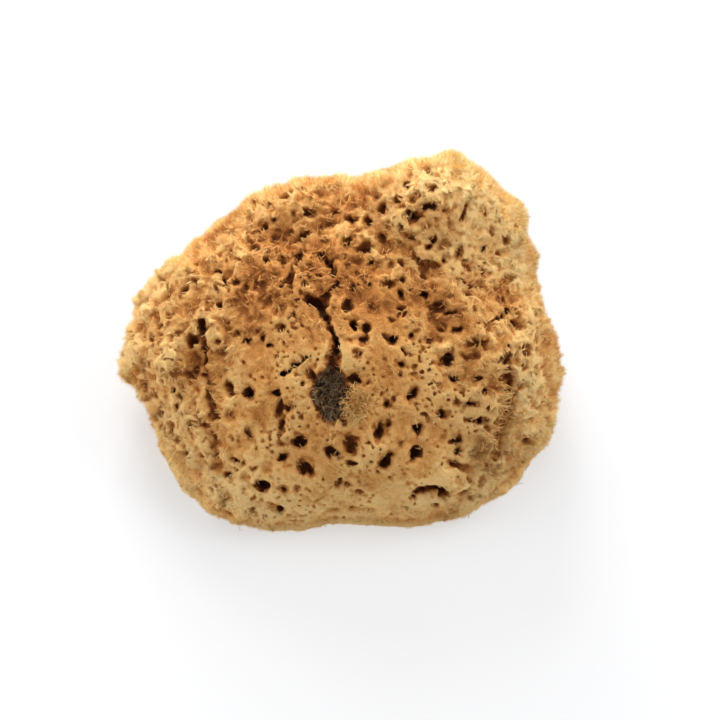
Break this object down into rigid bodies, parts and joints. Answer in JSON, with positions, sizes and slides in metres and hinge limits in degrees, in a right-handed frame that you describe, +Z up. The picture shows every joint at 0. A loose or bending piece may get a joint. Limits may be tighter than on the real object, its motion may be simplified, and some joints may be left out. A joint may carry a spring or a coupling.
{
  "type": "sea sponge",
  "caption": "Dried bath sponge, a lobed dome cut flat underneath, with round channel mouths and cracks leading inside; for washing or display.",
  "frame": {"origin": "middle of the sponge's box in plan, on the plane of its flat cut underside", "axes": "+Z up from the cut face; -Y towards the leaning front face with the dark hollow; +X to the right seen from the front, along the sponge's longest side"},
  "size_m": [0.1542, 0.1274, 0.0748],
  "materials": {
    "spongin": "dry, matt, fibrous, golden tan, darker in the channels"
  },
  "bodies": {
    "root": {"sponge": "spongin"}
  },
  "joints": []
}
